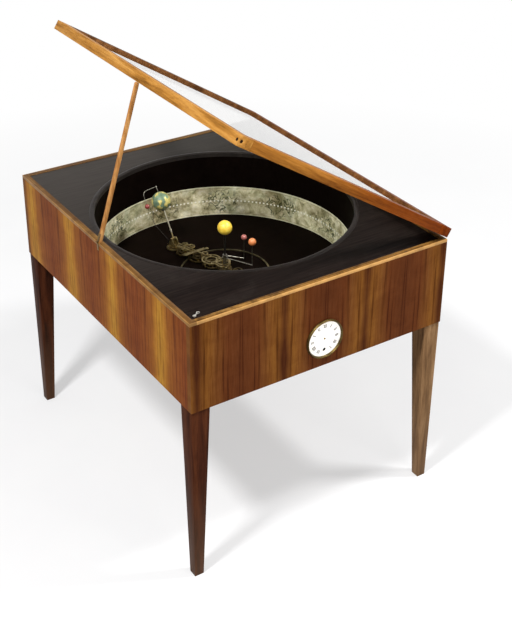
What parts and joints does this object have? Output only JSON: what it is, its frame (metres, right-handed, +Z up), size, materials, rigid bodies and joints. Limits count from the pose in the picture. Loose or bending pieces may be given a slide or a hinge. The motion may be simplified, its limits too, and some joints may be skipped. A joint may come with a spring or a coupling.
{
  "type": "orrery table clock",
  "caption": "Four-legged veneered table clock with a propped glazed lid over a round well that holds a geared brass orrery inside a painted band.",
  "frame": {"origin": "centre of the table's footprint on the floor, between the four feet", "axes": "+Z up, +X along the front face towards the lid's hinge, +Y from the dial's face towards the back"},
  "size_m": [0.805, 0.967, 1.2225],
  "materials": {
    "dark_leg": "satin",
    "cherry_veneer": "polished",
    "light_strip": "satin",
    "black_top": "satin",
    "case_inside": "matte",
    "well_black": "matte",
    "band_paper": "satin",
    "honey_wood": "satin",
    "bead_wood": "satin",
    "plug_wood": "satin",
    "prop_wood": "satin",
    "lid_glass": "polished",
    "hinge_brass": "satin",
    "enamel": "glossy",
    "bezel_brass": "polished",
    "movement_brass": "satin",
    "steel": "satin",
    "dull_brass": "satin",
    "dark_rod": "satin",
    "silvery_wire": "satin",
    "sun_paint": "satin",
    "mercury_paint": "satin",
    "venus_paint": "satin",
    "globe_paint": "satin",
    "moon_paint": "satin"
  },
  "bodies": {
    "case": {"leg_front_left": "dark_leg", "leg_front_right": "dark_leg", "leg_back_left": "dark_leg", "leg_back_right": "dark_leg", "front_board": "cherry_veneer", "back_board": "cherry_veneer", "left_board": "cherry_veneer", "right_board": "cherry_veneer", "rim_strips": "light_strip", "top_board": "black_top", "bottom_board": "case_inside", "floor_rails": "case_inside", "well_wall": "well_black", "well_floor": "well_black", "well_bead": "black_top", "zodiac_band": "band_paper", "floor_ring": "dull_brass", "case_hinge_leaves": "hinge_brass", "hinge_pins": "hinge_brass", "catch_peg": "hinge_brass", "prop_case_leaf": "hinge_brass", "prop_pin": "hinge_brass", "dial": "enamel", "dial_bezel": "bezel_brass", "movement_plates": "movement_brass", "gear_cradle": "movement_brass", "sun_post": "dark_rod", "sun_ball": "sun_paint", "fixed_wheel": "dull_brass"},
    "lid": {"lid_hinge_leaves": "hinge_brass", "lid_left_rail": "honey_wood", "lid_right_rail": "honey_wood", "lid_front_rail": "honey_wood", "lid_back_rail": "honey_wood", "lid_glass": "lid_glass", "glass_beads": "bead_wood", "corner_plugs": "plug_wood"},
    "prop": {"prop_leaf": "hinge_brass", "lid_prop": "prop_wood"},
    "catch": {"catch_hook": "hinge_brass"},
    "barrel": {"spring_barrel": "movement_brass"},
    "winding": {"winding_arbor": "steel"},
    "centre_wheel": {"centre_arbor": "movement_brass"},
    "escape_wheel": {"escape_arbor": "movement_brass"},
    "drive": {"drive_shaft": "steel"},
    "lay": {"layshaft": "movement_brass"},
    "annual": {"annual_arm": "dull_brass", "arm_gallery": "dull_brass", "date_pointer": "dark_rod"},
    "idler_one": {"first_idler": "dull_brass"},
    "idler_two": {"second_idler": "dull_brass"},
    "idler_three": {"third_idler": "dull_brass"},
    "carrier": {"globe_carrier": "dull_brass"},
    "earth": {"globe": "globe_paint"},
    "moon": {"moon_arm": "silvery_wire", "moon_ball": "moon_paint"},
    "venus": {"venus_arm": "silvery_wire", "venus_ball": "venus_paint"},
    "mercury": {"mercury_arm": "silvery_wire", "mercury_ball": "mercury_paint"}
  },
  "joints": [
    {"name": "lid_hinge", "type": "hinge", "parent": "case", "child": "lid", "pos_m": [0.394, 0, 0.781], "axis": [0, 1, 0], "range_deg": [-32.5, 0]},
    {"name": "prop_pivot", "type": "hinge", "parent": "case", "child": "prop", "pos_m": [-0.395, -0.008, 0.7825], "axis": [0, 1, 0], "range_deg": [-197.02, 0]},
    {"name": "catch_pivot", "type": "hinge", "parent": "case", "child": "catch", "pos_m": [-0.3625, -0.452, 0.778], "axis": [0, 0, 1], "range_deg": [-30, 80]},
    {"name": "annual_arm_turn", "type": "hinge", "parent": "case", "child": "annual", "pos_m": [0, 0, 0.57], "axis": [0, 0, 1], "continuous": true},
    {"name": "layshaft_turn", "type": "hinge", "parent": "case", "child": "lay", "pos_m": [-0.0342, -0.02688, 0.535], "axis": [0, 0, 1], "continuous": true},
    {"name": "venus_turn", "type": "hinge", "parent": "case", "child": "venus", "pos_m": [0, 0, 0.57], "axis": [0, 0, 1], "continuous": true},
    {"name": "mercury_turn", "type": "hinge", "parent": "case", "child": "mercury", "pos_m": [0, 0, 0.57], "axis": [0, 0, 1], "continuous": true},
    {"name": "first_idler_turn", "type": "hinge", "parent": "annual", "child": "idler_one", "pos_m": [-0.01389, 0.04542, 0.57], "axis": [0, 0, 1], "continuous": true},
    {"name": "second_idler_turn", "type": "hinge", "parent": "annual", "child": "idler_two", "pos_m": [-0.02997, 0.09802, 0.57], "axis": [0, 0, 1], "continuous": true},
    {"name": "third_idler_turn", "type": "hinge", "parent": "annual", "child": "idler_three", "pos_m": [-0.04532, 0.14823, 0.57], "axis": [0, 0, 1], "continuous": true},
    {"name": "carrier_turn", "type": "hinge", "parent": "annual", "child": "carrier", "pos_m": [-0.05847, 0.19126, 0.57], "axis": [0, 0, 1], "continuous": true},
    {"name": "globe_turn", "type": "hinge", "parent": "carrier", "child": "earth", "pos_m": [-0.05847, 0.19126, 0.607], "axis": [-0.1161, 0.3798, 0.9178], "continuous": true},
    {"name": "moon_turn", "type": "hinge", "parent": "carrier", "child": "moon", "pos_m": [-0.05847, 0.19126, 0.607], "axis": [-0.1161, 0.3798, 0.9178], "continuous": true},
    {"name": "barrel_turn", "type": "hinge", "parent": "case", "child": "barrel", "pos_m": [0, -0.458, 0.574], "axis": [0, 1, 0], "continuous": true},
    {"name": "winding_turn", "type": "hinge", "parent": "case", "child": "winding", "pos_m": [0, -0.458, 0.574], "axis": [0, 1, 0], "continuous": true},
    {"name": "centre_turn", "type": "hinge", "parent": "case", "child": "centre_wheel", "pos_m": [0, -0.458, 0.606], "axis": [0, 1, 0], "continuous": true},
    {"name": "escape_turn", "type": "hinge", "parent": "case", "child": "escape_wheel", "pos_m": [0, -0.458, 0.63], "axis": [0, 1, 0], "continuous": true},
    {"name": "drive_turn", "type": "hinge", "parent": "case", "child": "drive", "pos_m": [0, -0.458, 0.5425], "axis": [0, 1, 0], "continuous": true}
  ],
  "couplings": [
    {"joint": "prop_pivot", "follows": "lid_hinge", "ratio": 6.0621},
    {"joint": "layshaft_turn", "follows": "annual_arm_turn", "ratio": -2},
    {"joint": "venus_turn", "follows": "annual_arm_turn", "ratio": 1.625},
    {"joint": "mercury_turn", "follows": "annual_arm_turn", "ratio": 4.2143},
    {"joint": "first_idler_turn", "follows": "annual_arm_turn", "ratio": 0.72727},
    {"joint": "second_idler_turn", "follows": "annual_arm_turn", "ratio": -0.72727},
    {"joint": "third_idler_turn", "follows": "annual_arm_turn", "ratio": 0.8},
    {"joint": "carrier_turn", "follows": "annual_arm_turn", "ratio": -1},
    {"joint": "centre_turn", "follows": "barrel_turn", "ratio": -3.9231},
    {"joint": "escape_turn", "follows": "barrel_turn", "ratio": 15.692},
    {"joint": "drive_turn", "follows": "barrel_turn", "ratio": -4.25}
  ]
}
